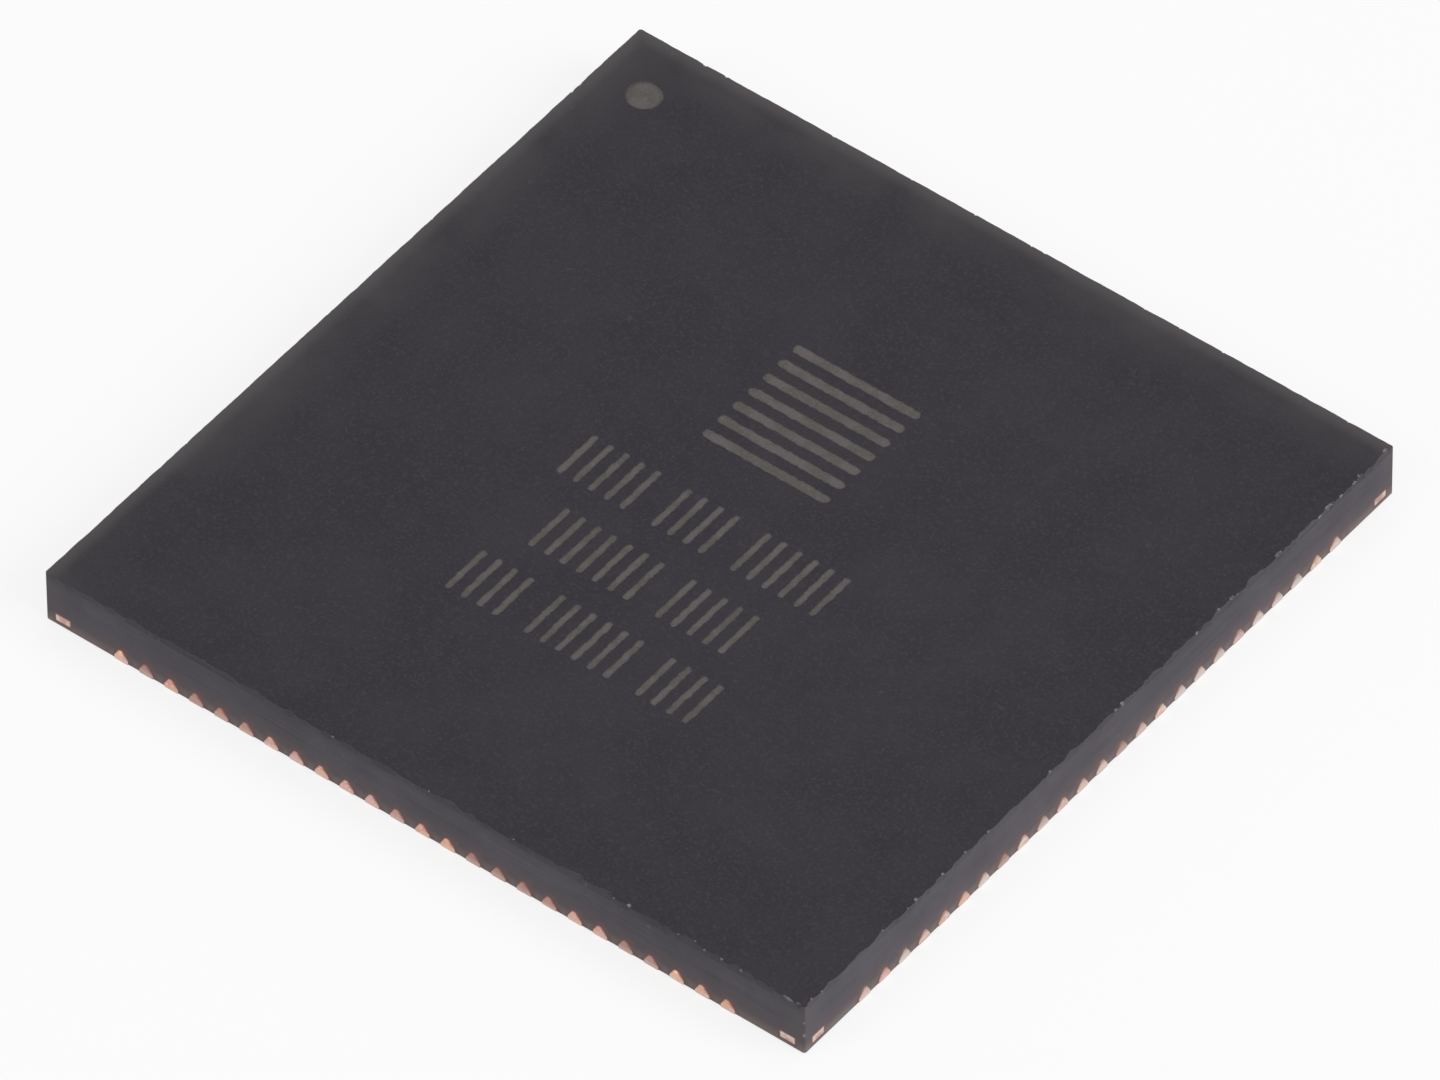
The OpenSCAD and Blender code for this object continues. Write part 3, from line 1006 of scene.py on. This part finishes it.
# The dark rim is dragged copper and a painted shadow round each cut end.
DRAGGED_COPPER_AND_SHADOW = tone(128, 84, 80)
DARK_SCORE = tone(150, 110, 100)
# Paler tin for the foot of every end, and painted glare over the ends of the second cut.
PALE_TIN_AND_GLARE = tone(212, 202, 197)
# Painted highlights on some cut ends.
PAINTED_COPPER_HIGHLIGHT = tone(240, 224, 214)
# Painted shade over the crests of the second cut's ends.
PAINTED_CREST_SHADE = tone(120, 115, 112)


def tint_ramp(wire, lot):
    """The tint that a random value between 0 and 1 picks."""
    tints = wire.node("ShaderNodeValToRGB", {"Fac": lot})
    ramp = tints.color_ramp
    ramp.elements.remove(ramp.elements[1])
    ramp.elements[0].color = TINTS[0]
    for index, colour in enumerate(TINTS[1:], start=1):
        ramp.elements.new(index / (len(TINTS) - 1)).color = colour
    return tints.outputs["Color"]


def lead_finish():
    material, wire, shader = finish("cut_copper_and_tin", Metallic=1.0)
    place = wire.place()
    lead = wire.effect(row, Position=place, Drag=-RIM_DRAG)
    scores = wire.effect(saw, Position=place)["Scores"]
    plating = wire.effect(tin, Position=place)
    patch = wire.ease(wire.noise(place, 7.0, detail=2), 0.42, 0.58)
    tint = wire.mix(patch, tint_ramp(wire, lead["Lot"]), tint_ramp(wire, lead["Shine"]))
    # The ends of the second cut are paled all over with painted glare; the foot is paler from tin.
    dragged = wire.math("MULTIPLY", lead["Second Cut"], wire.ease(lead["Lot"], 0.0, 1.0, 0.0, 0.9))
    tin_and_glare = wire.math("ADD", dragged, wire.ease(lead["Up"], 0.7, 0.0, 0.0, 0.4))
    dull = wire.mix(wire.ease(lead["Shine"], 0.6, 0.0, 0.0, 0.85), tint, DULL_COPPER)
    pale = wire.mix(tin_and_glare, dull, PALE_TIN_AND_GLARE)
    dark = wire.mix(wire.ease(scores, 0.5, 0.75, 0.0, 0.7), pale, DARK_SCORE)
    # Painted highlights on some cut ends, stronger where the lead's random shine is high.
    painted_glints = wire.ease(wire.noise(place, 22.0, detail=2), 0.55, 0.72)
    highlighted = wire.cover(dark, PAINTED_COPPER_HIGHLIGHT, painted_glints, lead["Shine"])
    # Darker rim round each end: dragged copper and painted shadow.
    rim = wire.math("MULTIPLY", wire.ease(lead["Depth"], RIM_W, 0.0), wire.ease(lead["Up"], 0.2, 0.8))
    edged = wire.cover(highlighted, DRAGGED_COPPER_AND_SHADOW, rim, wire.ease(scores, 0.2, 0.8, 0.6, 1.0))
    # Painted shade over the crests of the second cut's ends.
    copper = wire.cover(edged, PAINTED_CREST_SHADE, lead["Second Cut"], wire.ease(lead["Up"], 0.5, 1.0, 0.0, 0.6))
    wire.put(shader["Base Color"], wire.mix(lead["Cut Face"], plating["Color"], copper))
    rough = wire.node("ShaderNodeMix", {
        0: lead["Cut Face"], 2: plating["Roughness"], 3: wire.spread(scores, 0.36, 0.55)})
    wire.put(shader["Roughness"], rough.outputs[0])
    height = wire.node("ShaderNodeMix", {0: lead["Cut Face"], 2: plating["Height"], 3: scores})
    wire.put(shader["Normal"], wire.bump(height.outputs[0], 1.6))
    return material


LEAD_FINISH = lead_finish()
print("finish", LEAD_FINISH.name)

# %% [markdown]
# ## Leads and pad
# The CAD leads and the pad have the right shapes, and only their edges underneath are too sharp: etching
# and plating round them. We copy each, as we did the block, and bevel the outline that lies on the seating
# plane. The edges in the saw cut stay sharp, because there the copper is flush with the compound.

# %% Make the leads and the pad
PLATED_ROUND = 0.007
BARE_TONES = tone(196, 162, 152), tone(222, 205, 197)


def plated_copy(node):
    """A copy of a lead frame node with its outline underneath rounded."""
    bm = bench_copy(node)
    outline = [edge for edge in bm.edges
               if all(vert.co.z < NEAR for vert in edge.verts)
               and edge.calc_face_angle(0) > SHARP
               and min(max(abs(vert.co.x), abs(vert.co.y)) for vert in edge.verts) < HALF - NEAR]
    round_edges(bm, outline, PLATED_ROUND, segments=2)
    return bm


def pad_finish():
    material, wire, shader = finish("pad_tin", Metallic=1.0)
    place = wire.place()
    plating = wire.effect(tin, Position=place)
    scores = wire.effect(saw, Position=place)["Scores"]
    patch = wire.ease(wire.noise(place, 9.0, detail=2), 0.4, 0.6)
    bare = wire.mix(patch, *BARE_TONES)
    scored = wire.mix(wire.ease(scores, 0.45, 0.7, 0.0, 0.6), bare, DARK_SCORE)
    tie = wire.effect(row, Position=place, Drag=0.0)
    # The tie bar's end gets the same rim of dragged copper and painted shadow.
    copper = wire.mix(wire.ease(tie["Depth"], RIM_W, 0.0, 0.0, 0.7), scored, DRAGGED_COPPER_AND_SHADOW)
    wire.put(shader["Base Color"], wire.mix(tie["Cut Face"], plating["Color"], copper))
    wire.put(shader["Roughness"], plating["Roughness"])
    wire.put(shader["Normal"], wire.bump(plating["Height"], 1.4))
    return material


for node in ("leads_front", "leads_right", "leads_back", "leads_left"):
    piece = mesh_object(plated_copy(node), "plated_" + node, [LEAD_FINISH])
    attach(piece, "root")
    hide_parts(node)
    print(piece.name, len(piece.data.polygons), "faces")
solder_pad = mesh_object(plated_copy("die_pad"), "solder_pad", [pad_finish()])
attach(solder_pad, "root")
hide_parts("die_pad")
print(solder_pad.name, len(solder_pad.data.polygons), "faces")

# %% [markdown]
# ## What lies inside
# The die, its adhesive and the wires are sealed in the block, and their CAD shapes are right, so they stay
# and only get finishes. Silicon shows the blocks of its circuits in faint colours, the adhesive is full of
# silver flakes, and drawn gold wire has fine lines along it.

# %% Finishes inside
CIRCUIT_LINES = tone(80, 88, 112)
CIRCUIT_BLOCKS = {"Color1": tone(92, 98, 118), "Color2": tone(112, 104, 110), "Mortar": tone(150, 150, 158)}
PASTE_TONES = tone(140, 140, 138), tone(186, 186, 182)
GOLD_TONES = tone(222, 180, 96), tone(244, 208, 128)


def silicon():
    material, wire, shader = finish("silicon_circuits", Metallic=0.35)
    place = wire.place()
    laid = {"Vector": place, "Scale": 1.6, "Mortar Size": 0.015, **CIRCUIT_BLOCKS}
    blocks = wire.node("ShaderNodeTexBrick", laid).outputs["Color"]
    lines = wire.noise(wire.stretch(place, (2.0, 60.0, 1.0)), 1.0, detail=3)
    wire.put(shader["Base Color"], wire.mix(wire.ease(lines, 0.4, 0.7), blocks, CIRCUIT_LINES))
    wire.put(shader["Roughness"], wire.spread(lines, 0.22, 0.34))
    return material


def adhesive():
    material, wire, shader = finish("silver_adhesive", Metallic=0.6)
    place = wire.place()
    flakes = wire.node("ShaderNodeTexVoronoi", {"Vector": place, "Scale": 40.0}).outputs["Color"]
    shade = wire.split(flakes)[0]
    wire.put(shader["Base Color"], wire.mix(shade, *PASTE_TONES))
    wire.put(shader["Roughness"], wire.ease(shade, 0.0, 1.0, 0.35, 0.6))
    wire.put(shader["Normal"], wire.bump(shade, 2.0))
    return material


def drawn_gold():
    material, wire, shader = finish("drawn_gold", Metallic=1.0)
    lines = wire.noise(wire.place(), 120.0, detail=3)
    wire.put(shader["Base Color"], wire.mix(lines, *GOLD_TONES))
    wire.put(shader["Roughness"], wire.spread(lines, 0.18, 0.32))
    return material


GOLD = drawn_gold()
INSIDE = {"die": silicon(), "die_attach": adhesive(), "wires_front": GOLD, "wires_right": GOLD,
          "wires_back": GOLD, "wires_left": GOLD}
for node, material in INSIDE.items():
    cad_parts[node].material_slots[0].material = material
    print(node, material.name)
